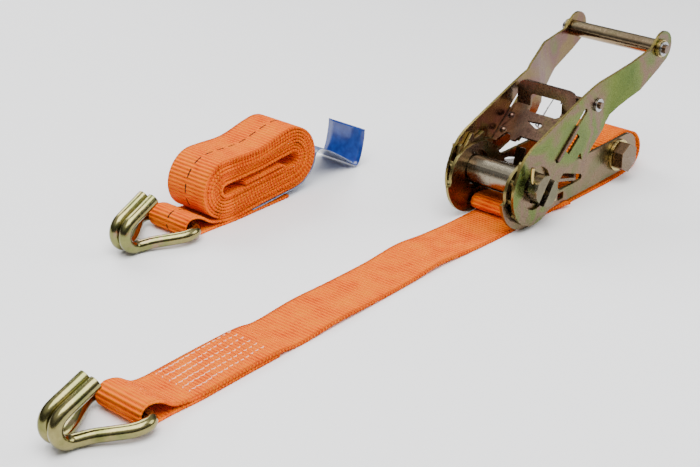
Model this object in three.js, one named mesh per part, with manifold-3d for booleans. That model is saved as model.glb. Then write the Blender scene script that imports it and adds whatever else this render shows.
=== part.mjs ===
// Ratchet tie-down set: a ratchet buckle on a short hooked strap, and a separate rolled strap with its own hook.
// Millimetres, +Z up. X runs from the short strap's hook to the buckle's tail, Y across the webbing.
// The spool axis is the line x = 0, z = axleZ. The floor is z = 0.
import * as THREE from 'three';
import Module from 'manifold-3d';

// ---------- driving dimensions ----------
const webW = 50;            // webbing width, the dimension everything else hangs on
const webT = 2.4;           // webbing thickness
const axleZ = 38;           // spool axis above the floor
const frameIn = 27.5;       // inner face of a frame plate, each side of the middle
const frameT = 3;           // frame plate thickness
const wheelIn = 30.9;       // inner face of a ratchet wheel
const wheelT = 3;           // ratchet wheel thickness
const wheelTip = 34;        // ratchet tooth tip radius
const wheelRoot = 28.5;     // ratchet tooth root radius
const toothCount = 12;
const toothPhase = 31.5;    // angle of one tooth's steep face, degrees
const handleOut = 36.8;     // outer face of a handle plate at the ring
const handleT = 2.5;        // handle plate thickness
const handleFlare = 10.7;   // how far the handle end steps outward
const ringR = 33.8;         // round end of the handle plate
const handleHoleR = 19.5;   // axle hole in the handle plate
const halfR = 12.5;         // half-round spool bar radius
const halfGap = 4.5;        // flat face of each half bar from the axis
const spoolEnd = 48;        // half bar end from the middle
const slotAngle = 51.7;     // direction of the spool slot at rest, degrees
const frameHoleR = 17.6;    // spool hole in the frame plate
const bolt = { x: 138, z: 25, r: 8, headAf: 24, headH: 10, nutH: 13 };
const sleeve = { r: 11, bore: 8.4 };
const grip = { x: 169, z: 124, r: 7.2, rodR: 4 };
const pin = { x: 88, z: 89.5, r: 3 };
const slide = { x: 28, z: 53, deg: 40 };   // inner end and direction of the drive pawl slot
const pawlT = 3;
const pawlBend = { s: 46, deg: 48, len: 23 };
const lockAt = { x: 29, z: 34.5, deg: -14.9 };
const wire = { r: 5.3 };
const coil = { r: 0.8 };

const rad = THREE.MathUtils.degToRad;
const wasm = await Module();
wasm.setup();

// ---------- helpers ----------
const meshOf = (positions, index) => {
  const g = new THREE.BufferGeometry();
  g.setAttribute('position', new THREE.Float32BufferAttribute(positions, 3));
  g.setIndex(index);
  return g;
};
const toSolid = (g) => {
  const pos = g.attributes.position.array, key = new Map(), verts = [], tri = [];
  const ids = [];
  for (let i = 0; i < pos.length; i += 3) {
    const k = `${pos[i].toFixed(4)},${pos[i + 1].toFixed(4)},${pos[i + 2].toFixed(4)}`;
    if (!key.has(k)) { key.set(k, verts.length / 3); verts.push(pos[i], pos[i + 1], pos[i + 2]); }
    ids.push(key.get(k));
  }
  const idx = g.index ? g.index.array : ids.map((_, i) => i);
  for (let i = 0; i < idx.length; i += 3) {
    const [a, b, c] = [ids[idx[i]], ids[idx[i + 1]], ids[idx[i + 2]]];
    if (a !== b && b !== c && a !== c) tri.push(a, b, c);
  }
  return new wasm.Manifold(new wasm.Mesh({
    numProp: 3, vertProperties: new Float32Array(verts), triVerts: new Uint32Array(tri),
  }));
};
const fromSolid = (m) => {
  const out = m.getMesh();
  return meshOf(Array.from(out.vertProperties), Array.from(out.triVerts));
};
const unite = (...gs) => fromSolid(gs.map(toSolid).reduce((a, b) => a.add(b)));
const cut = (a, ...bs) => fromSolid(bs.map(toSolid).reduce((s, b) => s.subtract(b), toSolid(a)));

const arc = (cx, cz, r, a0, a1, n) => Array.from({ length: n + 1 }, (_, i) => {
  const a = rad(a0 + (a1 - a0) * i / n);
  return [cx + r * Math.cos(a), cz + r * Math.sin(a)];
});
const circle = (cx, cz, r, n = 24) => arc(cx, cz, r, 0, 360, n).slice(0, n);

// A sheet-metal body: flat regions in (u, v), each point placed in space by place(u, v, side) with side 0 or 1.
const slab = (regions, place) => {
  const key = new Map(), pts = [];
  const id = (p) => {
    const k = `${p[0].toFixed(3)},${p[1].toFixed(3)}`;
    if (!key.has(k)) { key.set(k, pts.length); pts.push(p); }
    return key.get(k);
  };
  const tris = [];
  for (const { outer, holes = [] } of regions) {
    const v = (l) => l.map((p) => new THREE.Vector2(p[0], p[1]));
    let o = outer; if (THREE.ShapeUtils.area(v(o)) < 0) o = [...o].reverse();
    const hs = holes.map((h) => (THREE.ShapeUtils.area(v(h)) > 0 ? [...h].reverse() : h));
    const all = [o, ...hs].flat();
    for (const t of THREE.ShapeUtils.triangulateShape(v(o), hs.map(v))) tris.push(t.map((i) => id(all[i])));
  }
  const n = pts.length, pos = [];
  for (const side of [0, 1]) for (const p of pts) pos.push(...place(p[0], p[1], side));
  const index = [], edges = new Map();
  for (const [a, b, c] of tris) {
    index.push(a, b, c, c + n, b + n, a + n);
    for (const [s, e] of [[a, b], [b, c], [c, a]]) edges.set(`${s},${e}`, [s, e]);
  }
  for (const [s, e] of edges.values()) {
    if (!edges.has(`${e},${s}`)) index.push(s, s + n, e + n, s, e + n, e);
  }
  return meshOf(pos, index);
};
// Flat plate in the XZ plane between y0 (near) and y1 (far), y0 < y1.
const plate = (outer, holes, y0, y1) => slab([{ outer, holes }], (x, z, s) => [x, s ? y1 : y0, z]);
const rod = (x, z, r, y0, y1, n = 20) => plate(circle(x, z, r, n), [], y0, y1);
const ring = (x, z, r, bore, y0, y1, n = 24) => plate(circle(x, z, r, n), [circle(x, z, bore, n)], y0, y1);
const mirrored = (g) => {
  const p = g.attributes.position.array.slice(), i = Array.from(g.index.array);
  for (let k = 1; k < p.length; k += 3) p[k] = -p[k];
  for (let k = 0; k < i.length; k += 3) [i[k + 1], i[k + 2]] = [i[k + 2], i[k + 1]];
  return meshOf(Array.from(p), i);
};
// Round wire along a list of points.
const sweep = (pts, r, n = 10) => {
  const p = pts.map((q) => new THREE.Vector3(...q));
  const t = p.map((q, i) => p[Math.min(i + 1, p.length - 1)].clone().sub(p[Math.max(i - 1, 0)]).normalize());
  let u = new THREE.Vector3(0, 1, 0);
  if (Math.abs(t[0].dot(u)) > 0.9) u = new THREE.Vector3(0, 0, 1);
  const pos = [], index = [];
  p.forEach((q, i) => {
    u = u.clone().sub(t[i].clone().multiplyScalar(u.dot(t[i]))).normalize();
    const w = t[i].clone().cross(u);
    for (let k = 0; k < n; k++) {
      const a = 2 * Math.PI * k / n;
      const v = q.clone().addScaledVector(u, r * Math.cos(a)).addScaledVector(w, r * Math.sin(a));
      pos.push(v.x, v.y, v.z);
    }
  });
  const m = p.length;
  for (let i = 0; i < m - 1; i++) for (let k = 0; k < n; k++) {
    const a = i * n + k, b = i * n + (k + 1) % n;
    index.push(a, b, b + n, a, b + n, a + n);
  }
  for (let k = 1; k < n - 1; k++) {
    index.push(0, k + 1, k);
    index.push((m - 1) * n, (m - 1) * n + k, (m - 1) * n + k + 1);
  }
  return meshOf(pos, index);
};
// Webbing: a flat band across Y following points [x, z, yMiddle, width], thickness t in the XZ plane.
const band = (path, w, t) => {
  const pos = [], index = [], m = path.length;
  path.forEach(([x, z, yc = 0, wide = w], i) => {
    const a = path[Math.max(i - 1, 0)], b = path[Math.min(i + 1, m - 1)];
    const len = Math.hypot(b[0] - a[0], b[1] - a[1]);
    const nx = -(b[1] - a[1]) / len, nz = (b[0] - a[0]) / len;
    let k = 1;
    if (i > 0 && i < m - 1) {
      const l0 = Math.hypot(x - a[0], z - a[1]), c0 = ((x - a[0]) * (b[0] - a[0]) + (z - a[1]) * (b[1] - a[1]));
      k = 1 / Math.max(0.6, c0 / (l0 * len));
    }
    for (const [sy, sn] of [[-1, -1], [1, -1], [1, 1], [-1, 1]]) {
      pos.push(x + nx * sn * t / 2 * k, yc + sy * wide / 2, z + nz * sn * t / 2 * k);
    }
  });
  for (let i = 0; i < m - 1; i++) for (let k = 0; k < 4; k++) {
    const a = i * 4 + k, b = i * 4 + (k + 1) % 4;
    index.push(a, b, b + 4, a, b + 4, a + 4);
  }
  index.push(0, 2, 1, 0, 3, 2);
  const e = (m - 1) * 4;
  index.push(e, e + 1, e + 2, e, e + 2, e + 3);
  return meshOf(pos, index);
};
// Smooth path through control points [x, z, y], resampled.
const smooth = (ctrl, n, tension = 0.5) => {
  const c = new THREE.CatmullRomCurve3(ctrl.map(([x, z, y = 0]) => new THREE.Vector3(x, y, z)),
    false, 'centripetal', tension);
  return c.getSpacedPoints(n).map((v) => [v.x, v.z, v.y]);
};

const group = new THREE.Group();
group.name = 'ratchet_tie_down';
const add = (name, geometry, color) => {
  const m = new THREE.Mesh(geometry, new THREE.MeshStandardMaterial({ color }));
  m.name = name;
  group.add(m);
};
const steel = 0xb9a869, dark = 0x8f8458, orange = 0xf57c12;

// ---------- frame plates ----------
const Z = (list) => list.map(([x, z]) => [x, z + axleZ]);
const frameOutline = Z([
  ...arc(-3, 0, 38, 187, 292, 14), [26, -33.2], [38, -32], ...arc(153, -14.5, 17.5, -90, 90, 10),
  [47, 3], [40, 3.4], [35, 5], [31, 9.5], [28.4, 13.2], [24, 17.5], [15, 22.5], [5, 25], [-6, 25.5], [-17, 24],
  [-26.5, 19.5], [-32.8, 13], [-36, 4.5], [-36, -2.5], [-37.2, -4.2],
]);
const lockSlot = Z([[42, -2.6], [47, -3], [69, -10.2], [78, -13.3], [80.3, -15.8], [79, -18.6], [74, -19.2],
  [46, -18.8], [42.6, -16]]);
const frameHoles = [Z(circle(0, 0, frameHoleR, 28)), lockSlot, Z([[43, -21.6], [52, -21.6], [52, -28.4], [43, -28.4]]),
  circle(bolt.x, bolt.z, bolt.r + 0.3, 20)];
const frameNear = plate(frameOutline, frameHoles, -frameIn - frameT, -frameIn);
add('frame_plate_near', frameNear, steel);
add('frame_plate_far', mirrored(frameNear), steel);

// ---------- anchor bolt, nut, washers, sleeve ----------
const hex = (x, z, af, deg = 30) => arc(x, z, af / 2 / Math.cos(Math.PI / 6), deg, deg + 360, 6).slice(0, 6);
const fOut = frameIn + frameT;
add('anchor_bolt', unite(rod(bolt.x, bolt.z, bolt.r, -fOut - 4, fOut + 20, 20),
  plate(hex(bolt.x, bolt.z, bolt.headAf), [], -fOut - 3.3 - bolt.headH, -fOut - 3.3)), steel);
add('anchor_washer_near', ring(bolt.x, bolt.z, 15, bolt.r + 0.3, -fOut - 3, -fOut - 0.3), steel);
add('anchor_washer_far', ring(bolt.x, bolt.z, 15, bolt.r + 0.3, fOut + 0.3, fOut + 3), steel);
add('anchor_nut', plate(hex(bolt.x, bolt.z, bolt.headAf), [circle(bolt.x, bolt.z, bolt.r + 0.3, 20)],
  fOut + 3.3, fOut + 3.3 + bolt.nutH), steel);
add('anchor_sleeve', ring(bolt.x, bolt.z, sleeve.r, sleeve.bore, -frameIn + 0.3, frameIn - 0.3), dark);

// ---------- spool: two half-round bars, two toothed wheels, two cotter pins ----------
const turn = (pts, deg) => pts.map(([x, z]) => {
  const c = Math.cos(rad(deg)), s = Math.sin(rad(deg));
  return [x * c - z * s, x * s + z * c];
});
// In slot coordinates the slot runs along u and the bars sit above and below it.
const halfShape = (sgn, grow = 0) => {
  const a = arc(0, sgn * halfGap, halfR + grow, sgn > 0 ? 0 : 180, sgn > 0 ? 180 : 360, 14);
  return a.map(([u, v], i) => (i === 0 || i === a.length - 1) ? [u, v - sgn * grow] : [u, v]);
};
const spoolAt = (pts) => Z(turn(pts, slotAngle));
const cotterHoleY = 42;
for (const [name, sgn] of [['spool_bar_upper', 1], ['spool_bar_lower', -1]]) {
  const bar = plate(spoolAt(halfShape(sgn)), [], -spoolEnd, spoolEnd);
  const holes = [-1, 1].map((side) => {
    const [dx, dz] = turn([[0, 1]], slotAngle)[0];
    const at = (k) => [dx * k, side * cotterHoleY, axleZ + dz * k];
    return sweep([at(-25), at(25)], 2.1, 10);
  });
  add(name, cut(bar, ...holes), steel);
}
const wheelOutline = [];
for (let k = 0; k < toothCount; k++) {
  const a = toothPhase + 360 / toothCount * k, step = 360 / toothCount;
  // steep face on the clockwise side of each tooth, sloped back running up to the next steep face
  wheelOutline.push([a, wheelRoot], [a + 0.8, wheelTip], [a + 5.5, wheelTip], [a + step * 0.5, wheelRoot + 2],
    [a + step * 0.72, wheelRoot]);
}
const wheelShape = Z(wheelOutline.map(([a, r]) => [r * Math.cos(rad(a)), r * Math.sin(rad(a))]));
const wheelFar = plate(wheelShape, [spoolAt(halfShape(1, 0.3)), spoolAt(halfShape(-1, 0.3))], wheelIn, wheelIn + wheelT);
const wheelNear = plate(wheelShape, [spoolAt(halfShape(1, 0.3)), spoolAt(halfShape(-1, 0.3))],
  -wheelIn - wheelT, -wheelIn);
add('ratchet_wheel_near', wheelNear, steel);
add('ratchet_wheel_far', wheelFar, steel);
const cotter = (side) => {
  const [dx, dz] = turn([[0, 1]], slotAngle)[0];
  const y = side * cotterHoleY;
  const p = (k, up = 0) => [dx * k, y, axleZ + dz * k + up];
  const leg = [p(-20.2), p(-18), p(16.5), p(18.4, 0.8), p(19.2, 2.8), p(19.4, 6), p(19.2, 10), p(18.6, 13.4)];
  // The eye's wire starts and ends inside the leg.
  const eye = [...Array(13)].map((_, i) => {
    const a = rad(196 + 328 * i / 12);
    return [dx * (-21.8 - 2.4 * Math.cos(a)), y + side * 2.4 * Math.sin(a), axleZ + dz * (-21.8 - 2.4 * Math.cos(a))];
  });
  return unite(sweep(leg, 1.7, 8), sweep(eye, 1.3, 6));
};
add('cotter_pin_near', cotter(-1), steel);
add('cotter_pin_far', cotter(1), steel);

// ---------- handle plates ----------
// The plate steps outward between two shallow bends across the handle.
const creaseA = [[83, 69.3], [105.6, 31.9]], creaseB = [[123.2, 82.9], [140.9, 53.1]];
const handleMain = [
  ...arc(0, 0, ringR, 150, 352, 26), [37, -1.5], [43, 3], [61, 8.4], [64, 12.2], [66.4, 12], [68.6, 5.4], [73, 2.6],
  [77, 5], [83, 12], [100, 24.5], [103.5, 30], creaseA[1], creaseA[0], [73, 66.6], [53, 60], [33, 53], [13, 46], [3, 42.5], [-8, 38.5],
  [-17, 33.4], [-25, 25.5],
];
const slotEnd = 55;
const stadium = (s0, s1, w) => {
  const local = [...arc(s1, 0, w / 2, -90, 90, 6), ...arc(s0, 0, w / 2, 90, 270, 6)];
  return turn(local, slide.deg).map(([x, z]) => [x + slide.x, z + slide.z - axleZ]);
};
const handleHoles = [circle(0, 0, handleHoleR, 28), stadium(2.2, slotEnd, 5),
  [[58.6, 33], [62.9, 28.9], [47.2, 16.7], [42, 21.6]], circle(pin.x, pin.z - axleZ, pin.r + 0.3, 16)];
const gripAt = [grip.x, grip.z - axleZ];
const handleJog = [creaseA[1], [108, 36.9], [116.6, 42.3], [130, 48.7], creaseB[1], creaseB[0], [117.4, 81.2],
  [103.7, 76.7], [89.8, 72.6], creaseA[0]];
const handleEnd = [creaseB[0], [156.4, 88.3], [163.6, 94.6], ...arc(175, 85, 15, 128, -58, 12), [169.8, 65.5], creaseB[1]];
const flareY = (x, z) => {
  const along = (x - creaseA[0][0]) * 0.8563 + (z - creaseA[0][1]) * 0.5166;
  return handleFlare * Math.min(1, Math.max(0, along / 41.3));
};
const handleNear = slab([
  { outer: handleMain, holes: handleHoles },
  { outer: handleJog },
  { outer: handleEnd, holes: [circle(...gripAt, grip.rodR + 0.3, 16)] },
], (x, z, s) => [x, -handleOut - flareY(x, z) + (s ? handleT : 0), z + axleZ]);
add('handle_plate_near', handleNear, steel);
add('handle_plate_far', mirrored(handleNear), steel);
const endOut = handleOut + handleFlare, endIn = endOut - handleT;
add('grip_tube', ring(grip.x, grip.z, grip.r, grip.rodR + 0.6, -endIn + 0.3, endIn - 0.3, 24), steel);
add('grip_rod', rod(grip.x, grip.z, grip.rodR, -endOut - 8, endOut + 8, 18), steel);
for (const [name, s] of [['near', -1], ['far', 1]]) {
  const span = (a, b) => (s < 0 ? [-b, -a] : [a, b]);
  add(`grip_collar_${name}`, ring(grip.x, grip.z, 8, grip.rodR + 0.3, ...span(endOut + 0.3, endOut + 3.3), 24), steel);
  add(`grip_washer_${name}`, ring(grip.x, grip.z, 6.8, grip.rodR + 0.3, ...span(endOut + 3.6, endOut + 5.4), 24), dark);
  add(`pin_washer_${name}`, ring(pin.x, pin.z, 6, pin.r + 0.3, ...span(handleOut + 0.3, handleOut + 2.6), 20), dark);
}
add('cross_pin', rod(pin.x, pin.z, pin.r, -handleOut - 5, handleOut + 5, 16), steel);

// ---------- drive pawl: a flat plate in the handle slots with a bent-up finger loop ----------
const pawlDir = [Math.cos(rad(slide.deg)), Math.sin(rad(slide.deg))];
const pawlNrm = [-pawlDir[1], pawlDir[0]];
const bendDir = [Math.cos(rad(slide.deg + pawlBend.deg)), Math.sin(rad(slide.deg + pawlBend.deg))];
const bendNrm = [-bendDir[1], bendDir[0]];
const pawlPoint = (s, off, dir = pawlDir) => [slide.x + pawlDir[0] * Math.min(s, pawlBend.s)
  + bendDir[0] * Math.max(0, s - pawlBend.s), slide.z + pawlDir[1] * Math.min(s, pawlBend.s)
  + bendDir[1] * Math.max(0, s - pawlBend.s)];
const pawlPlace = (s, y, side) => {
  const [x, z] = pawlPoint(s), o = (side ? -1 : 1) * pawlT / 2;
  let n = s > pawlBend.s + 0.01 ? bendNrm : pawlNrm;
  if (Math.abs(s - pawlBend.s) < 0.01) {
    const k = 1 + pawlNrm[0] * bendNrm[0] + pawlNrm[1] * bendNrm[1];
    n = [(pawlNrm[0] + bendNrm[0]) / k, (pawlNrm[1] + bendNrm[1]) / k];
  }
  return [x + n[0] * o, y, z + n[1] * o];
};
// The tongues stop short of the tooth tips: in the real one the teeth cam them out, and a rigid pair can't do that.
const halfPawl = [[13.7, 9.5], [8, 12], [8, 17], [13.7, 19.5], [13.7, 24.5], [8.5, 27.5], [3, 30.2], [3, 34.2],
  [1.2, 34.2], [1.2, 38.8], [39, 38.8], [39, 33.8], [42.5, 33.8], [46, 31]];
const halfLoop = [[46, 31], [46 + pawlBend.len - 7, 31], [46 + pawlBend.len - 4, 30], [46 + pawlBend.len - 1.2, 27],
  [46 + pawlBend.len, 23]];
const sym = (half) => [...half, ...[...half].reverse().map(([s, y]) => [s, -y])];
const pawlBody = slab([
  { outer: [...halfPawl, [46, 16.5], [41.5, 16.5], [39.5, 13.5], [39.5, -13.5], [41.5, -16.5], [46, -16.5],
    ...[...halfPawl].reverse().map(([s, y]) => [s, -y])],
    holes: [[[30, 10], [31.2, -4], [28.5, -5], [25, -2.5], [25.6, 0.5]]] },
  { outer: [[46, 16.5], ...halfLoop, ...[...halfLoop].reverse().map(([s, y]) => [s, -y]), [46, -16.5],
    [56.2, -16.5], [57.8, -14.5], [57.8, 14.5], [56.2, 16.5]] },
], pawlPlace);
const dome = (s, y) => {
  const rows = 4, n = 12, pos = [], index = [];
  const put = (lift, rr, a) => {
    const ds = s + rr * Math.cos(a), [x, z] = pawlPoint(ds), o = pawlT / 2 - 0.6 + lift;
    pos.push(x + pawlNrm[0] * o, y + rr * Math.sin(a), z + pawlNrm[1] * o);
  };
  for (let j = 0; j < rows; j++) for (let k = 0; k < n; k++) {
    const b = Math.PI / 2 * j / rows;
    put(3 * Math.sin(b), 3.6 * Math.cos(b), 2 * Math.PI * k / n);
  }
  put(3, 0, 0); put(0, 0, 0);
  for (let j = 0; j < rows - 1; j++) for (let k = 0; k < n; k++) {
    const a = j * n + k, b = j * n + (k + 1) % n;
    index.push(a, b, b + n, a, b + n, a + n);
  }
  for (let k = 0; k < n; k++) {
    index.push((rows - 1) * n + k, (rows - 1) * n + (k + 1) % n, rows * n);
    index.push((k + 1) % n, k, rows * n + 1);
  }
  return meshOf(pos, index);
};
add('drive_pawl', unite(pawlBody, dome(31, 28.6), dome(15.5, 28.6), dome(31, -28.6), dome(15.5, -28.6)), steel);
const spring = (() => {
  const pts = [], turns = 4, per = 10, r = 4.7, y0 = -6, y1 = 3;
  const sp = (s, off, y) => [slide.x + pawlDir[0] * s + pawlNrm[0] * off, y, slide.z + pawlDir[1] * s + pawlNrm[1] * off];
  const a0 = rad(slide.deg + 90);
  pts.push([pin.x + 11 * Math.cos(a0 + Math.PI / 2) + r * Math.cos(a0), y0, pin.z + 11 * Math.sin(a0 + Math.PI / 2) + r * Math.sin(a0)]);
  for (let i = 0; i <= turns * per; i++) {
    const a = a0 - 2 * Math.PI * i / per;
    pts.push([pin.x + r * Math.cos(a), y0 + (y1 - y0) * i / (turns * per), pin.z + r * Math.sin(a)]);
  }
  pts.push(sp(50, -4.4, y1), sp(31.5, -3.2, y1 - 1.5), sp(29, -2.8, y1 - 3), sp(28.2, -1, y1 - 3), sp(28, 3.4, y1 - 3));
  return sweep(pts, coil.r, 6);
})();
add('drive_pawl_spring', spring, dark);

// ---------- lock pawl: a flat plate in the frame slots behind the spool ----------
const lockDir = [Math.cos(rad(lockAt.deg)), Math.sin(rad(lockAt.deg))], lockNrm = [-lockDir[1], lockDir[0]];
const lockPlace = (s, y, side) => {
  const o = (side ? -1 : 1) * pawlT / 2;
  return [lockAt.x + lockDir[0] * s + lockNrm[0] * o, y, lockAt.z + lockDir[1] * s + lockNrm[1] * o];
};
const lockHalf = [[9, 6], [9, 21], [14.8, 27], [14.8, 30.9], [6, 31.2], [6, 33.6], [38, 33.6], [38, 27], [26, 25.5],
  [26, 5], [31, 4], [31, 2.2]];
const lockBody = slab([{ outer: sym(lockHalf) }], lockPlace);
const tabAt = (s, off) => [lockAt.x + lockDir[0] * s + lockNrm[0] * off, lockAt.z + lockDir[1] * s + lockNrm[1] * off];
const tab = plate([tabAt(9.2, -0.6), tabAt(12.2, -0.6), tabAt(12.2, 17), tabAt(11, 18.6), tabAt(9.2, 18.6)], [], 6, 16);
add('lock_pawl', unite(lockBody, tab), steel);
const lockSpring = (() => {
  const pts = [], turns = 5, per = 10, r = 3.9, s0 = 31.8, s1 = 44;
  for (let i = 0; i <= turns * per; i++) {
    const a = 2 * Math.PI * i / per, s = s0 + (s1 - s0) * i / (turns * per);
    const up = r * Math.sin(a);
    pts.push([lockAt.x + lockDir[0] * s + lockNrm[0] * up, r * Math.cos(a), lockAt.z + lockDir[1] * s + lockNrm[1] * up]);
  }
  return sweep(pts, coil.r, 6);
})();
add('lock_pawl_spring', lockSpring, dark);
// Cross bar the lock spring pushes against, its ends riveted between the frame plates.
const seatC = [lockAt.x + lockDir[0] * 46.6, lockAt.z + lockDir[1] * 46.6];
add('spring_seat', plate([[-1.5, -6], [1.5, -6], [1.5, 6], [-1.5, 6]].map(([s, o]) => [seatC[0] + lockDir[0] * s
  + lockNrm[0] * o, seatC[1] + lockDir[1] * s + lockNrm[1] * o]), [], -frameIn + 0.3, frameIn - 0.3), steel);

// ---------- hooks: one wire bent into a loop for the webbing and two closed-up J points ----------
const hookPath = () => {
  // Local frame: loop bar on x = 0, the J bends toward -X, z up, floor at z = 0.
  const half = [], legY = 29.4;
  const barZ = webT + 0.8 + wire.r, lowZ = wire.r;
  half.push([0, 0, barZ], [0, 11, barZ], [0, legY - 8, barZ]);
  for (const a of [22, 45, 68, 90]) half.push([-8 + 8 * Math.cos(rad(a)), legY - 8 + 8 * Math.sin(rad(a)), barZ]);
  half.push([-13, 28.8, barZ - 0.4], [-18, 26.6, barZ - 0.8], [-28, 19.4, barZ - 1.5], [-38, 12, barZ - 2.2]);
  half.push([-47, 7.2, lowZ + 0.1]);
  const r = 12.6, cx = -51, cz = lowZ + r;
  for (let i = 0; i <= 10; i++) {
    const h = rad(180 - 157 * i / 10);
    half.push([cx - r * Math.sin(h), 5.65, cz + r * Math.cos(h)]);
  }
  const h = rad(23), last = half[half.length - 1];
  half.push([last[0] + 15 * Math.cos(h), 5.65, last[2] + 15 * Math.sin(h)]);
  half.push([last[0] + 30 * Math.cos(h), 5.65, last[2] + 30 * Math.sin(h)]);
  const other = half.slice(1).map(([x, y, z]) => [x, -y, z]).reverse();
  return [...other, ...half];
};
const placeHook = (x, y, deg) => sweep(hookPath().map(([px, py, pz]) => {
  const c = Math.cos(rad(deg)), s = Math.sin(rad(deg));
  return [x + px * c - py * s, y + px * s + py * c, pz];
}), wire.r, 12);
const hookOne = { x: -431, y: -2.4, deg: -3 }, hookTwo = { x: -208, y: 195.9, deg: 3.4 };
add('hook_short_strap', placeHook(hookOne.x, hookOne.y, hookOne.deg), steel);
add('hook_long_strap', placeHook(hookTwo.x, hookTwo.y, hookTwo.deg), steel);

// ---------- webbing ----------
const g2 = webT / 2, lay = webT + 0.35;
// Loop round a hook bar: short tail underneath (cut end at tailX), over the bar, main run on top.
const hookLoop = (bx, tailX, y) => {
  const bz = webT + 1.6 + wire.r, r = wire.r + 2.3 + g2;
  return [[tailX, g2, y], [tailX - 30, g2, y], [bx + 26, g2, y], [bx + 6, g2, y],
    ...[-115, -140, -165, -190, -215, -240, -265].map((a) => [bx + r * Math.cos(rad(a)), bz + r * Math.sin(rad(a)), y]),
    [bx + 10, bz + r - 2.6, y], [bx + 22, g2 + lay + 3.4, y], [bx + 34, g2 + lay + 0.7, y], [bx + 44, g2 + lay, y]];
};
const shortPath = [
  ...hookLoop(hookOne.x, -305, 0).map(([x, z]) => [x, z, -2 * Math.min(1, Math.max(0, (-330 - x) / 90))]),
  [-340, g2 + lay, 0], [-307, g2 + lay, 0], [-298, g2 + lay - 0.6, 0], [-284, g2, 0], [-240, g2 + 2, 0.5], [-200, g2 + 1, 1],
  [-150, g2 + 0.5, 2], [-110, g2 + 2.4, 2.5], [-80, g2 + 0.6, 1], [-40, g2, -1], [0, g2, -1.5], [60, g2, -3.5], [120, g2, -5],
  [160, g2 + 0.6, -4], [172, g2 + 2.6, -3.5], [180.4, 10.5, -3], [183, 18, -2.5], [181.4, 26, -2], [176, 33, -1.5],
  [168, 37.2, -1], [156, 39.6, -0.6], [138, bolt.z + sleeve.r + 0.4 + g2, 0], [127, 35.6, 0], [119, 29, 0], [112, 21, 0],
  [104, 14.6, 0], [92, 11.4, 0], [60, 10.2, 0],
  [26, 11.8, 0], [6, 15.4, 0], [-2.5, 16.2, 0], [-7.6, 14.4, 0], [-9.8, 10.4, 0], [-8, 6.4, 0],
  [-3, g2 + lay + 0.1, 0], [6, g2 + lay, -0.2], [24, g2 + lay, -1.5], [40, g2 + lay, -5], [58, g2 + lay, -10],
];
// Webbing is gathered a little narrower where it sits inside a hook.
const gathered = (path, bx) => path.map(([x, z, y]) => {
  const k = Math.min(1, Math.max(0, (x - bx - 14) / 40));
  return [x, z, y, 45.6 + (webW - 45.6) * k * k * (3 - 2 * k)];
});
const fine = (ctrl, step) => {
  let len = 0;
  for (let i = 1; i < ctrl.length; i++) len += Math.hypot(ctrl[i][0] - ctrl[i - 1][0], ctrl[i][1] - ctrl[i - 1][1]);
  return smooth(ctrl, Math.round(len / step)).map(([x, z, y]) => [x, Math.max(z, g2), y]);
};
add('strap_short', band(gathered(fine(shortPath, 5), hookOne.x), webW, webT), orange);

// Long strap: loop on the hook, then a roll wound inward from its underside, ending in a small fold at the core.
const roll = { x: -126, z: 33.8, y: 195, tilt: 3, turns: 8, pitch: 2.72, a: 42, r0: 27 };
const rollPath = () => {
  const pts = [], put = (x, z) => {
    const waist = -1.6 * Math.exp(-((x + 4) ** 2) / 420) * z / 27;
    const [rx, rz] = turn([[x, z + waist]], roll.tilt)[0];
    pts.push([roll.x + rx, roll.z + rz, roll.y]);
  };
  const { a, r0, pitch } = roll;
  for (let k = 0; k < roll.turns; k++) {
    const r = (f) => r0 - pitch * (k + f);
    for (const t of [-0.66, 0, 0.66]) if (k > 0 || t > -0.1) put(t * a, -r(0));
    for (let i = 0; i <= 8; i++) {
      const t = Math.PI * i / 8, rr = r(0.5 * i / 8);
      put(a + rr * Math.sin(t), -rr * Math.cos(t));
    }
    for (const t of [0.66, 0, -0.66]) put(t * a, r(0.5));
    for (let i = 0; i <= 8; i++) {
      const t = Math.PI * i / 8, rr = r(0.5 + 0.5 * i / 8);
      put(-a - rr * Math.sin(t), rr * Math.cos(t));
    }
  }
  const e = r0 - pitch * roll.turns;
  put(-28, -e); put(0, -e + 0.2); put(22, -e + 0.4); put(26.6, -e + 1.2); put(27.6, -e + 2.4); put(26.4, -e + 3.8);
  put(20, -e + 4.6); put(0, -e + 4.4); put(-22, -e + 4.2);
  return pts;
};
const longHead = fine([...hookLoop(hookTwo.x, -92, roll.y), [-158, g2 + lay + 0.1, roll.y], [-146, 5, roll.y],
  [-135, 5.9, roll.y]], 6);
const underside = rollPath();
add('strap_long', band([...gathered(longHead, hookTwo.x), ...underside.filter(([x], i) => i > 0 || x > -130)], webW, webT), orange);

// Label: a thin sewn strip that leaves the roll's right end and stands up as a small card.
const labelW = 46, labelT = 0.6;
const labelPath = [[-138, 3.1], [-126, 3.5], [-112, 4.4], [-98, 5.6], [-86, 6.2], [-78, 7.4], [-70, 10.6], [-62, 16.8],
  [-57, 24], [-55.4, 30], [-52.4, 33.2], [-47, 33.8], [-40, 30.4], [-20, 17.6], [-6, 7.2], [-1.4, 3.2], [0.6, 1.8],
  [3.4, 3], [6.4, 8], [9.6, 17], [12, 27], [13, 35]].map(([x, z]) => [x, z, 193]);
add('label', band(labelPath, labelW, labelT), 0x1f4fb0);

export default group;
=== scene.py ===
import bpy, bmesh, math
from mathutils import Vector, Matrix, noise


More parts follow.
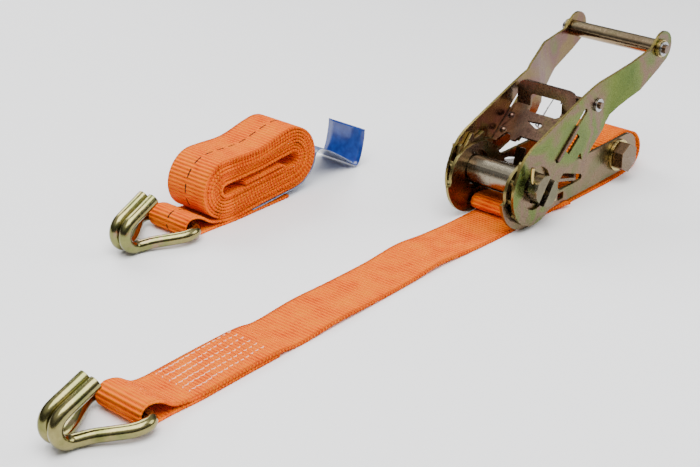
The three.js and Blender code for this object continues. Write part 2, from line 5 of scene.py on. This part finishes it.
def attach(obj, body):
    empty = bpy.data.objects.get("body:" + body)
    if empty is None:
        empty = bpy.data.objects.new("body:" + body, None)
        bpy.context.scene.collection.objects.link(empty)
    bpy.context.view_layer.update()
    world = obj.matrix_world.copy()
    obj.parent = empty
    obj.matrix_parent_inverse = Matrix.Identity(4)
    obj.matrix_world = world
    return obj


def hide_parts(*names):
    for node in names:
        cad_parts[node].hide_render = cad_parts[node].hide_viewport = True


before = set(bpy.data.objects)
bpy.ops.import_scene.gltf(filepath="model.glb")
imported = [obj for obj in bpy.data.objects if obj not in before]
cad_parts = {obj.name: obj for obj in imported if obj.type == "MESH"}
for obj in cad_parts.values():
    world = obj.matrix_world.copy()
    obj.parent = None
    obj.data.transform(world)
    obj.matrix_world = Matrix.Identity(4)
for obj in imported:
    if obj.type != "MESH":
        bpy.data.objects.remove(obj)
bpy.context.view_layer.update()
mm = 0.001
print("frame loaded")

camera = {"place": (-0.9851, -0.7013, 0.5548), "aim": (-0.1993, 0.0, 0.0549), "lens": 77.1, "roll": -0.25}
camData = bpy.data.cameras.new("camera")
camData.lens, camData.sensor_width = camera["lens"], 36
camObj = bpy.data.objects.new("camera", camData)
bpy.context.scene.collection.objects.link(camObj)
camObj.location = camera["place"]
look = (Vector(camera["aim"]) - Vector(camera["place"])).to_track_quat("-Z", "Y")
camObj.rotation_euler = (look.to_matrix() @ Matrix.Rotation(math.radians(camera["roll"]), 3, "Z")).to_euler()
bpy.context.scene.camera = camObj


# ---- materials ----
def newMaterial(name):
    m = bpy.data.materials.new(name)
    m.use_nodes = True
    return m, m.node_tree.nodes, m.node_tree.links, m.node_tree.nodes["Principled BSDF"]


def mathNode(nodes, links, op, a, b=0.0, clamp=False):
    n = nodes.new("ShaderNodeMath")
    n.operation, n.use_clamp = op, clamp
    for i, v in enumerate((a, b)):
        if isinstance(v, (int, float)):
            n.inputs[i].default_value = v
        else:
            links.new(v, n.inputs[i])
    return n.outputs[0]


def rampNode(nodes, links, source, stops):
    r = nodes.new("ShaderNodeValToRGB")
    while len(r.color_ramp.elements) < len(stops):
        r.color_ramp.elements.new(0.5)
    for e, (at, c) in zip(r.color_ramp.elements, stops):
        e.position, e.color = at, (*c, 1)
    links.new(source, r.inputs[0])
    return r.outputs[0]


def mixColour(nodes, links, factor, a, b, blend="MIX"):
    n = nodes.new("ShaderNodeMix")
    n.data_type, n.blend_type = "RGBA", blend
    if isinstance(factor, (int, float)):
        n.inputs[0].default_value = factor
    else:
        links.new(factor, n.inputs[0])
    for i, v in ((6, a), (7, b)):
        if isinstance(v, tuple):
            n.inputs[i].default_value = (*v, 1)
        else:
            links.new(v, n.inputs[i])
    return n.outputs[2]


# Chromate film: slow colour drift and finer mottling, which also varies roughness and bump.
def passivated(name, stops, rough=0.3, drift=26, edge=None):
    m, nodes, links, shader = newMaterial(name)
    shader.inputs["Metallic"].default_value = 1
    co = nodes.new("ShaderNodeTexCoord").outputs["Object"]
    slow = nodes.new("ShaderNodeTexNoise")
    slow.inputs["Scale"].default_value, slow.inputs["Detail"].default_value = drift, 3
    slow.inputs["Distortion"].default_value = 0.8
    links.new(co, slow.inputs["Vector"])
    fine = nodes.new("ShaderNodeTexNoise")
    fine.inputs["Scale"].default_value, fine.inputs["Detail"].default_value = 420, 4
    links.new(co, fine.inputs["Vector"])
    colour = rampNode(nodes, links, slow.outputs["Fac"], stops)
    speck = rampNode(nodes, links, fine.outputs["Fac"], [(0.3, (0.72, 0.7, 0.66)), (0.62, (1, 1, 1))])
    colour = mixColour(nodes, links, 0.55, colour, speck, "MULTIPLY")
    if edge:
        sep = nodes.new("ShaderNodeSeparateXYZ")
        links.new(nodes.new("ShaderNodeNewGeometry").outputs["Normal"], sep.inputs[0])
        face = mathNode(nodes, links, "ABSOLUTE", sep.outputs["Y"])
        flat = rampNode(nodes, links, face, [(0.55, (0, 0, 0)), (0.85, (1, 1, 1))])
        colour = mixColour(nodes, links, flat, edge, colour)
    links.new(colour, shader.inputs["Base Color"])
    r = mathNode(nodes, links, "MULTIPLY_ADD", fine.outputs["Fac"], 0.28)
    r.node.inputs[2].default_value = rough - 0.12
    links.new(r, shader.inputs["Roughness"])
    bump = nodes.new("ShaderNodeBump")
    bump.inputs["Strength"].default_value, bump.inputs["Distance"].default_value = 0.25, 0.0002
    links.new(fine.outputs["Fac"], bump.inputs["Height"])
    links.new(bump.outputs["Normal"], shader.inputs["Normal"])
    return m


finishes = {
    "plateGreen": passivated(
        "plateGreen",
        [(0.3, (0.072, 0.11, 0.022)), (0.44, (0.11, 0.143, 0.03)),
         (0.54, (0.165, 0.099, 0.066)), (0.64, (0.099, 0.132, 0.03))],
        rough=0.26, drift=22, edge=(0.231, 0.182, 0.055)),
    "plateBrown": passivated(
        "plateBrown",
        [(0.3, (0.11, 0.061, 0.044)), (0.46, (0.165, 0.11, 0.039)),
         (0.56, (0.149, 0.072, 0.061)), (0.68, (0.11, 0.11, 0.033))],
        rough=0.22, drift=24, edge=(0.231, 0.182, 0.055)),
    "framePink": passivated(
        "framePink",
        [(0.32, (0.16, 0.099, 0.072)), (0.5, (0.193, 0.127, 0.072)),
         (0.66, (0.132, 0.127, 0.05))],
        rough=0.28, drift=26, edge=(0.242, 0.198, 0.072)),
    "pawlBrown": passivated(
        "pawlBrown",
        [(0.3, (0.088, 0.047, 0.036)), (0.52, (0.138, 0.083, 0.055)),
         (0.68, (0.132, 0.105, 0.044))],
        rough=0.26, drift=30),
    "spoolSteel": passivated(
        "spoolSteel",
        [(0.3, (0.11, 0.09, 0.05)), (0.5, (0.16, 0.135, 0.08)),
         (0.7, (0.12, 0.11, 0.06))],
        rough=0.22, drift=40, edge=(0.26, 0.225, 0.16)),
    "gripTan": passivated(
        "gripTan",
        [(0.3, (0.255, 0.18, 0.105)), (0.5, (0.345, 0.255, 0.15)),
         (0.68, (0.24, 0.21, 0.105))],
        rough=0.2, drift=20),
    "hookGold": passivated(
        "hookGold",
        [(0.3, (0.165, 0.165, 0.053)), (0.46, (0.277, 0.24, 0.098)),
         (0.6, (0.203, 0.21, 0.075)), (0.74, (0.3, 0.195, 0.135))],
        rough=0.16, drift=34),
    "boltPink": passivated(
        "boltPink",
        [(0.35, (0.176, 0.121, 0.094)), (0.6, (0.149, 0.105, 0.061))],
        rough=0.26, drift=50, edge=(0.121, 0.072, 0.039)),
    "brightZinc": passivated(
        "brightZinc",
        [(0.35, (0.35, 0.357, 0.371)), (0.65, (0.434, 0.434, 0.434))],
        rough=0.2, drift=60),
    "goldBright": passivated(
        "goldBright",
        [(0.35, (0.42, 0.307, 0.105)), (0.62, (0.495, 0.398, 0.165))],
        rough=0.17, drift=50),
}


# Webbing reads its own UV map, in metres: u runs along the strap and v across it.
def webbingMaterial(name, ribPitch=0.0034, line=False):
    m, nodes, links, shader = newMaterial(name)
    uv = nodes.new("ShaderNodeUVMap")
    uv.uv_map = "UVMap"
    sep = nodes.new("ShaderNodeSeparateXYZ")
    links.new(uv.outputs[0], sep.inputs[0])
    u, v = sep.outputs["X"], sep.outputs["Y"]
    rib = mathNode(nodes, links, "SINE", mathNode(nodes, links, "MULTIPLY", u, 2 * math.pi / ribPitch))
    thread = mathNode(nodes, links, "SINE", mathNode(nodes, links, "MULTIPLY", v, 2 * math.pi / 0.0015))
    weave = mathNode(nodes, links, "MULTIPLY", rib, thread)
    height = mathNode(nodes, links, "ADD", mathNode(nodes, links, "MULTIPLY", rib, 0.7),
                      mathNode(nodes, links, "MULTIPLY", weave, 0.45))
    cloud = nodes.new("ShaderNodeTexNoise")
    cloud.inputs["Scale"].default_value, cloud.inputs["Detail"].default_value = 55, 4
    links.new(uv.outputs[0], cloud.inputs["Vector"])
    # Colour follows the weave height as well as the random cloud tone: painted shade in the grooves between ribs
    # and painted highlight on the rib crests, over the dye's own random tone.
    tone = mathNode(nodes, links, "ADD", mathNode(nodes, links, "MULTIPLY", height, 0.26),
                    mathNode(nodes, links, "MULTIPLY", cloud.outputs["Fac"], 0.9))
    dyeAndWeaveShade = [(0.12, (0.62, 0.045, 0.0)), (0.36, (1.0, 0.15, 0.0)), (0.8, (1.0, 0.25, 0.0))]
    colour = rampNode(nodes, links, tone, dyeAndWeaveShade)
    side = mathNode(nodes, links, "GREATER_THAN", mathNode(nodes, links, "ABSOLUTE", v), 0.0228)
    colour = mixColour(nodes, links, mathNode(nodes, links, "MULTIPLY", side, 0.4), colour, (0.62, 0.06, 0.0))
    if line:
        phase = mathNode(nodes, links, "FRACT", mathNode(nodes, links, "DIVIDE", u, 0.0135))
        dash = mathNode(nodes, links, "MULTIPLY", mathNode(nodes, links, "LESS_THAN", phase, 0.6),
                        mathNode(nodes, links, "LESS_THAN", mathNode(nodes, links, "ABSOLUTE", v), 0.0007))
        colour = mixColour(nodes, links, dash, colour, (0.012, 0.012, 0.014))
    links.new(colour, shader.inputs["Base Color"])
    shader.inputs["Roughness"].default_value = 0.8
    shader.inputs["Sheen Weight"].default_value = 0.0
    shader.inputs["Specular IOR Level"].default_value = 0.08
    shader.inputs["Sheen Roughness"].default_value = 0.4
    bump = nodes.new("ShaderNodeBump")
    bump.inputs["Strength"].default_value, bump.inputs["Distance"].default_value = 1.0, 0.0008
    links.new(height, bump.inputs["Height"])
    links.new(bump.outputs["Normal"], shader.inputs["Normal"])
    return m


webShort, webLong = webbingMaterial("webShort"), webbingMaterial("webLong", line=True)
print("materials made")


# ---- metal: each part copied from its solid, merged, with its edges broken ----
def refine(node, body, material, bevel=0.35, angle=34):
    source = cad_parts[node]
    mesh = source.data.copy()
    piece = bpy.data.objects.new(node + "_fine", mesh)
    bpy.context.scene.collection.objects.link(piece)
    bm = bmesh.new()
    bm.from_mesh(mesh)
    bmesh.ops.remove_doubles(bm, verts=bm.verts, dist=0.00002)
    bmesh.ops.dissolve_limit(bm, angle_limit=math.radians(0.6), verts=bm.verts, edges=bm.edges)
    bmesh.ops.recalc_face_normals(bm, faces=bm.faces)
    for f in bm.faces:
        f.smooth = True
    bm.to_mesh(mesh)
    bm.free()
    mesh.set_sharp_from_angle(angle=math.radians(angle))
    mesh.materials.clear()
    mesh.materials.append(material)
    if bevel:
        b = piece.modifiers.new("edge", "BEVEL")
        b.width, b.segments, b.limit_method, b.angle_limit = bevel * mm, 2, "ANGLE", math.radians(angle)
        b.use_clamp_overlap, b.harden_normals = True, True
    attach(piece, body)
    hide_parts(node)
    return piece


metalParts = {
    "base": {
        "frame_plate_near": "framePink", "frame_plate_far": "framePink",
        "anchor_bolt": "boltPink", "anchor_nut": "boltPink",
        "anchor_washer_near": "goldBright", "anchor_washer_far": "goldBright",
        "anchor_sleeve": "gripTan", "spring_seat": "pawlBrown",
        "lock_pawl_spring": "brightZinc",
    },
    "spool": {
        "spool_bar_upper": "spoolSteel", "spool_bar_lower": "spoolSteel",
        "ratchet_wheel_near": "framePink", "ratchet_wheel_far": "framePink",
        "cotter_pin_near": "goldBright", "cotter_pin_far": "goldBright",
    },
    "handle": {
        "handle_plate_near": "plateGreen", "handle_plate_far": "plateBrown",
        "grip_tube": "gripTan", "grip_rod": "boltPink",
        "grip_collar_near": "goldBright", "grip_collar_far": "goldBright",
        "grip_washer_near": "brightZinc", "grip_washer_far": "brightZinc",
        "cross_pin": "boltPink", "pin_washer_near": "brightZinc",
        "pin_washer_far": "brightZinc", "drive_pawl_spring": "brightZinc",
    },
    "drive_pawl_body": {
        "drive_pawl": "pawlBrown",
    },
    "lock_pawl_body": {
        "lock_pawl": "boltPink",
    },
}
for body, parts in metalParts.items():
    for node, finish in parts.items():
        thin = "spring" in node and node != "spring_seat" or "cotter" in node
        refine(node, body, finishes[finish], 0 if thin else 0.35, 50 if thin else 34)
print("metal parts made")


# ---- paths ----
# An evenly spaced smooth line through points of any length.
def smoothPath(points, step):
    p = [Vector(q) for q in points]
    p = [p[0] * 2 - p[1]] + p + [p[-1] * 2 - p[-2]]
    dense = []
    for i in range(1, len(p) - 2):
        t = [0.0]
        for k in range(3):
            t.append(t[-1] + max(1e-4, (p[i + k] - p[i + k - 1]).length) ** 0.5)
        for j in range(12):
            s = t[1] + (t[2] - t[1]) * j / 12
            a = [p[i - 1 + k] * ((t[k + 1] - s) / (t[k + 1] - t[k]))
                 + p[i + k] * ((s - t[k]) / (t[k + 1] - t[k])) for k in range(3)]
            b = [a[k] * ((t[k + 2] - s) / (t[k + 2] - t[k]))
                 + a[k + 1] * ((s - t[k]) / (t[k + 2] - t[k])) for k in range(2)]
            dense.append(b[0] * ((t[2] - s) / (t[2] - t[1])) + b[1] * ((s - t[1]) / (t[2] - t[1])))
    dense.append(p[-2])
    lengths = [0.0]
    for a, b in zip(dense, dense[1:]):
        lengths.append(lengths[-1] + (b - a).length)
    count, out, k = max(2, round(lengths[-1] / step)), [], 0
    for i in range(count + 1):
        d = lengths[-1] * i / count
        while k < len(lengths) - 2 and lengths[k + 1] < d:
            k += 1
        f = (d - lengths[k]) / max(1e-9, lengths[k + 1] - lengths[k])
        out.append(dense[k].lerp(dense[k + 1], min(1, f)))
    return out, lengths[-1]


# ---- hooks ----
hookWire = {"radius": 5.3, "bend": 12.6, "legY": 29.4}


def makeHook(name, node, body, x, y, deg):
    r, w = hookWire["bend"], hookWire["radius"]
    barZ, legY = 8.5, hookWire["legY"]
    half = [(0, 0, barZ), (0, 11, barZ), (0, legY - 8, barZ)]
    corner = [math.radians(a) for a in (22, 45, 68, 90)]
    half += [(-8 + 8 * math.cos(a), legY - 8 + 8 * math.sin(a), barZ) for a in corner]
    half += [(-13, 28.8, barZ - 0.4), (-18, 26.6, barZ - 0.8), (-28, 19.4, barZ - 1.5), (-38, 12, barZ - 2.2)]
    half += [(-47, 7.2, w + 0.1)]
    for i in range(11):
        h = math.radians(180 - 157 * i / 10)
        half.append((-51 - r * math.sin(h), 5.65, w + r + r * math.cos(h)))
    end, h = half[-1], math.radians(23)
    half += [(end[0] + d * math.cos(h), 5.65, end[2] + d * math.sin(h)) for d in (15, 30)]
    line = [(a, -b, c) for a, b, c in reversed(half[1:])] + half
    c, s = math.cos(math.radians(deg)), math.sin(math.radians(deg))
    line, _ = smoothPath([(x + a * c - b * s, y + a * s + b * c, z) for a, b, z in line], 2.2)
    curve = bpy.data.curves.new(name, "CURVE")
    curve.dimensions, curve.bevel_depth, curve.bevel_resolution, curve.use_fill_caps = "3D", w * mm, 8, True
    spline = curve.splines.new("POLY")
    spline.points.add(len(line) - 1)
    for point, q in zip(spline.points, line):
        point.co = (q.x * mm, q.y * mm, q.z * mm, 1)
    temp = bpy.data.objects.new(name + "Line", curve)
    bpy.context.scene.collection.objects.link(temp)
    bpy.context.view_layer.update()
    mesh = bpy.data.meshes.new_from_object(temp.evaluated_get(bpy.context.evaluated_depsgraph_get()))
    bpy.data.objects.remove(temp)
    bm = bmesh.new()
    bm.from_mesh(mesh)
    bmesh.ops.remove_doubles(bm, verts=bm.verts, dist=0.00002)
    bmesh.ops.recalc_face_normals(bm, faces=bm.faces)
    for f in bm.faces:
        f.smooth = True
    bm.to_mesh(mesh)
    bm.free()
    mesh.set_sharp_from_angle(angle=math.radians(50))
    mesh.materials.clear()
    mesh.materials.append(finishes["hookGold"])
    piece = bpy.data.objects.new(name, mesh)
    bpy.context.scene.collection.objects.link(piece)
    b = piece.modifiers.new("edge", "BEVEL")
    b.width, b.segments, b.limit_method, b.angle_limit = 0.5 * mm, 2, "ANGLE", math.radians(50)
    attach(piece, body)
    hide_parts(node)


makeHook("hookShort", "hook_short_strap", "hook_short_body", -431, -2.4, -3)
makeHook("hookLong", "hook_long_strap", "hook_long_body", -208, 195.9, 3.4)
print("hooks made")


# ---- webbing ----
# A grid laid along a line of (x, y, z, width), then thickened. Its UV map is in metres.
def makeStrip(name, line, thickness, material, across=10):
    count = len(line)
    bm = bmesh.new()
    uvLayer = bm.loops.layers.uv.new("UVMap")
    bmesh.ops.create_grid(bm, x_segments=count - 1, y_segments=across, size=1)
    places = {}
    run = [0.0]
    for a, b in zip(line, line[1:]):
        run.append(run[-1] + (Vector(b[:3]) - Vector(a[:3])).length)
    for vert in bm.verts:
        i = round((vert.co.x + 1) / 2 * (count - 1))
        t = (vert.co.y + 1) / 2 - 0.5
        x, y, z, wide = line[i]
        places[vert] = (run[i] * mm, t * wide * mm)
        vert.co = (x * mm, (y + t * wide) * mm, max(z, 0) * mm)
    for f in bm.faces:
        f.smooth = True
        for loop in f.loops:
            loop[uvLayer].uv = places[loop.vert]
    bm.normal_update()
    for vert, n in [(v, v.normal.copy()) for v in bm.verts]:
        vert.co += n * (thickness * mm / 2)
    bmesh.ops.solidify(bm, geom=bm.faces[:], thickness=thickness * mm)
    bm.normal_update()
    # nothing goes below the floor
    for vert in bm.verts:
        vert.co.z = max(vert.co.z, 0)
    bmesh.ops.recalc_face_normals(bm, faces=bm.faces)
    mesh = bpy.data.meshes.new(name)
    bm.to_mesh(mesh)
    bm.free()
    mesh.materials.append(material)
    piece = bpy.data.objects.new(name, mesh)
    bpy.context.scene.collection.objects.link(piece)
    return piece, run[-1] * mm


webbing = {"width": 50, "thick": 2.2, "half": 1.2, "layer": 2.75}


def hookLoop(bx, tailX, y):
    bz, r, g = 9.3, 8.8, webbing["half"]
    low = [(tailX, y, g), (tailX - 30, y, g), (bx + 26, y, g), (bx + 6, y, g)]
    low += [(bx + r * math.cos(math.radians(a)), y, bz + r * math.sin(math.radians(a)))
            for a in (-115, -140, -165, -190, -215, -240, -265)]
    return low + [(bx + 10, y, bz + r - 2.6), (bx + 22, y, g + 6.15), (bx + 34, y, g + 3.45),
                  (bx + 44, y, g + 2.75)]


def gather(x, bx):
    k = min(1, max(0, (x - bx - 14) / 40))
    return 45.6 + 4.4 * k * k * (3 - 2 * k)


g2, up = webbing["half"], webbing["half"] + webbing["layer"]
shortLine = [(x, -2 * min(1, max(0, (-330 - x) / 90)), z) for x, _, z in hookLoop(-431, -305, 0)]
shortLine += [(x, y, z) for x, z, y in [
    (-340, up, 0), (-307, up, 0), (-298, up - 0.6, 0), (-284, g2, 0), (-240, g2 + 2, 0.5), (-200, g2 + 1, 1),
    (-150, g2 + 0.5, 2), (-110, g2 + 2.4, 2.5), (-80, g2 + 0.6, 1), (-40, g2, -1), (0, g2, -1.5),
    (60, g2, -3.5), (120, g2, -5), (160, g2 + 0.6, -4), (172, g2 + 2.6, -3.5), (180.4, 10.5, -3),
    (183, 18, -2.5), (181.4, 26, -2), (176, 33, -1.5),
    (168, 37.2, -1), (156, 39.6, -0.6), (138, 37.6, 0), (127, 35.6, 0), (119, 29, 0), (112, 21, 0),
    (104, 14.6, 0), (92, 11.4, 0), (60, 10.2, 0), (26, 11.8, 0), (6, 15.4, 0), (-2.5, 16.2, 0),
    (-7.6, 14.4, 0), (-9.8, 10.4, 0), (-8, 6.4, 0), (-3, up + 0.1, 0), (6, up, -0.2), (24, up, -1.5),
    (40, up, -5), (58, up, -10)]]
points, shortLength = smoothPath(shortLine, 2.5)
strip = [(p.x, p.y, max(p.z, g2), gather(p.x, -431)) for p in points]
strapShort, _ = makeStrip("strapShort", strip, webbing["thick"], webShort, 10)
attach(strapShort, "base")
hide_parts("strap_short")

roll = {"x": -126, "z": 33.8, "y": 195, "tilt": 3, "turns": 8, "pitch": 2.72, "a": 42, "r0": 27}


def rollLine():
    out = []

    def put(x, z):
        top = max(0, z) / roll["r0"]
        shift = -2.9 * math.exp(-((x + 2) ** 2) / 520) * top  # waist
        shift += 0.9 * math.exp(-((x + 40) ** 2) / 300) * z / roll["r0"]  # belly
        shift += 3.2 * math.exp(-((x - 40) ** 2) / 420) * top  # raised shoulder
        c, s = math.cos(math.radians(roll["tilt"])), math.sin(math.radians(roll["tilt"]))
        zz = z + shift
        out.append((roll["x"] + x * c - zz * s, roll["y"], roll["z"] + x * s + zz * c))

    a, r0, pitch = roll["a"], roll["r0"], roll["pitch"]
    for k in range(roll["turns"]):
        r = lambda f: r0 - pitch * (k + f)
        for t in (-0.66, 0, 0.66):
            if k > 0 or t > -0.1:
                put(t * a, -r(0))
        for i in range(9):
            t = math.pi * i / 8
            put(a + r(0.5 * i / 8) * math.sin(t), -r(0.5 * i / 8) * math.cos(t))
        for t in (0.66, 0, -0.66):
            put(t * a, r(0.5))
        for i in range(9):
            t = math.pi * i / 8
            put(-a - r(0.5 + 0.5 * i / 8) * math.sin(t), r(0.5 + 0.5 * i / 8) * math.cos(t))
    e = r0 - pitch * roll["turns"]
    core = ((-28, 0), (0, 0.2), (22, 0.4), (26.6, 1.2), (27.6, 2.4), (26.4, 3.8), (20, 4.6), (0, 4.4), (-22, 4.2))
    for x, rise in core:
        put(x, rise - e)
    return out


head = hookLoop(-208, -92, roll["y"])
head += [(-158, roll["y"], up + 0.1), (-146, roll["y"], 5), (-135, roll["y"], 5.9)]
headPoints, _ = smoothPath(head, 4)
headPoints = [(p.x, p.y, max(p.z, g2)) for p in headPoints]
tailPoints = [p for i, p in enumerate(rollLine()) if i > 0 or p[0] > -130]
points, longLength = smoothPath(headPoints + tailPoints, 2.5)
strip, run = [], 0
for i, p in enumerate(points):
    run += 2.5
    inRoll = min(1, max(0, (run - 330) / 120))
    slip = 2.4 * inRoll * noise.noise(Vector((run * 0.006, 2.7, 0.1)))
    strip.append((p.x, p.y + slip, max(p.z, g2), gather(p.x, -208)))
strapLong, _ = makeStrip("strapLong", strip, webbing["thick"], webLong, 10)
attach(strapLong, "long_strap_body")
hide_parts("strap_long")
print("webbing made", round(shortLength), round(longLength))

# ---- label ----
labelBlue, nodes, links, shader = newMaterial("labelBlue")
co = nodes.new("ShaderNodeUVMap")
co.uv_map = "UVMap"
sep = nodes.new("ShaderNodeSeparateXYZ")
links.new(co.outputs[0], sep.inputs[0])
wear = nodes.new("ShaderNodeTexNoise")
wear.inputs["Scale"].default_value = 160
links.new(co.outputs[0], wear.inputs["Vector"])
film = rampNode(nodes, links, wear.outputs["Fac"], [(0.3, (0.003, 0.022, 0.17)), (0.7, (0.006, 0.045, 0.27))])
plain = rampNode(nodes, links, wear.outputs["Fac"], [(0.3, (0.07, 0.1, 0.2)), (0.7, (0.16, 0.2, 0.32))])
card = mathNode(nodes, links, "GREATER_THAN", sep.outputs["X"], 0.155)
links.new(mixColour(nodes, links, card, plain, film), shader.inputs["Base Color"])
shader.inputs["Roughness"].default_value = 0.22
shader.inputs["Coat Weight"].default_value = 0.5
labelPoints = [(-138, 3.1), (-126, 3.5), (-112, 4.4), (-98, 5.6), (-86, 6.2), (-78, 7.4), (-70, 10.6),
               (-62, 16.8), (-57, 24), (-55.4, 30), (-52.4, 33.2), (-47, 33.8), (-40, 30.4), (-20, 17.6),
               (-6, 7.2), (-1.4, 3.2), (0.6, 1.8), (3.4, 3), (6.4, 8), (9.6, 17), (12, 27), (13, 35)]
points, _ = smoothPath([(x, 193, z) for x, z in labelPoints], 2)
label, _ = makeStrip("label_film", [(p.x, p.y, p.z, 46) for p in points], 0.5, labelBlue, 6)
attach(label, "long_strap_body")
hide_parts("label")

# ---- stitching: zigzag rows through both layers ----
stitch = {"rows": 6, "from": -388, "to": -307, "low": -16, "high": 24, "pitch": 5.4, "swing": 0.9,
          "thick": 0.42, "slant": 5, "dip": 0.75}
thread, nodes, links, shader = newMaterial("thread")
fleck = nodes.new("ShaderNodeTexNoise")
fleck.inputs["Scale"].default_value = 1800
links.new(nodes.new("ShaderNodeTexCoord").outputs["Object"], fleck.inputs["Vector"])
cream = rampNode(nodes, links, fleck.outputs["Fac"], [(0.3, (0.9, 0.42, 0.22)), (0.7, (0.95, 0.72, 0.58))])
links.new(cream, shader.inputs["Base Color"])
shader.inputs["Roughness"].default_value = 0.6
curve = bpy.data.curves.new("stitching", "CURVE")
curve.dimensions, curve.bevel_depth = "3D", stitch["thick"] * mm
curve.bevel_resolution, curve.use_fill_caps = 1, True
top = up + webbing["half"] + 0.05
for row in range(stitch["rows"]):
    y0 = stitch["low"] + (stitch["high"] - stitch["low"] - stitch["slant"]) * row / (stitch["rows"] - 1)
    n = int((stitch["to"] - stitch["from"]) / stitch["pitch"] * 2)
    spline = curve.splines.new("POLY")
    spline.points.add(n)
    for i, point in enumerate(spline.points):
        f = i / n
        x = stitch["from"] + (stitch["to"] - stitch["from"]) * f
        drift = noise.noise(Vector((i * 0.21, row * 3.1, 0.4)))
        y = y0 + stitch["slant"] * f + (stitch["swing"] if i % 2 else -stitch["swing"]) + 1.1 * drift
        dip = stitch["dip"] if i % 2 else 0.0  # each stitch goes down into the weave and comes up again
        point.co = (x * mm, y * mm, (top - dip) * mm, 1)
curve.materials.append(thread)
stitching = bpy.data.objects.new("stitching", curve)
bpy.context.scene.collection.objects.link(stitching)
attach(stitching, "base")
print("label and stitching made")

# ---- floor and light ----
floorMat, nodes, links, shader = newMaterial("paleFloor")
shader.inputs["Base Color"].default_value = (0.93, 0.93, 0.93, 1)
shader.inputs["Roughness"].default_value = 0.6
bm = bmesh.new()
bmesh.ops.create_grid(bm, x_segments=1, y_segments=1, size=6)
floorMesh = bpy.data.meshes.new("floor")
bm.to_mesh(floorMesh)
bm.free()
floorMesh.materials.append(floorMat)
floor = bpy.data.objects.new("floor", floorMesh)
bpy.context.scene.collection.objects.link(floor)
floor.location.z = -0.0004
world = bpy.data.worlds.new("soft")
bpy.context.scene.world = world
world.use_nodes = True
nodes, links = world.node_tree.nodes, world.node_tree.links
height = nodes.new("ShaderNodeSeparateXYZ")
links.new(nodes.new("ShaderNodeTexCoord").outputs["Generated"], height.inputs[0])
bands = [(0.0, (0.5, 0.5, 0.5)), (0.12, (0.1, 0.1, 0.1)), (0.45, (0.22, 0.22, 0.23)), (0.7, (0.95, 0.96, 1.0))]
sky = rampNode(nodes, links, height.outputs["Z"], bands)
links.new(sky, nodes["Background"].inputs[0])
nodes["Background"].inputs[1].default_value = 0.85
lamps = {"key": ((-0.5, -0.3, 1.5), 1.3, 40), "fill": ((0.9, -1.0, 0.9), 0.9, 13),
         "back": ((0.2, 1.3, 1.0), 0.9, 17)}
for name, (place, size, power) in lamps.items():
    data = bpy.data.lights.new(name, "AREA")
    data.size, data.energy = size, power
    lamp = bpy.data.objects.new(name, data)
    bpy.context.scene.collection.objects.link(lamp)
    lamp.location = place
    lamp.rotation_euler = (Vector((-0.15, 0.05, 0.03)) - Vector(place)).to_track_quat("-Z", "Y").to_euler()
print("stage made")

bpy.context.view_layer.update()
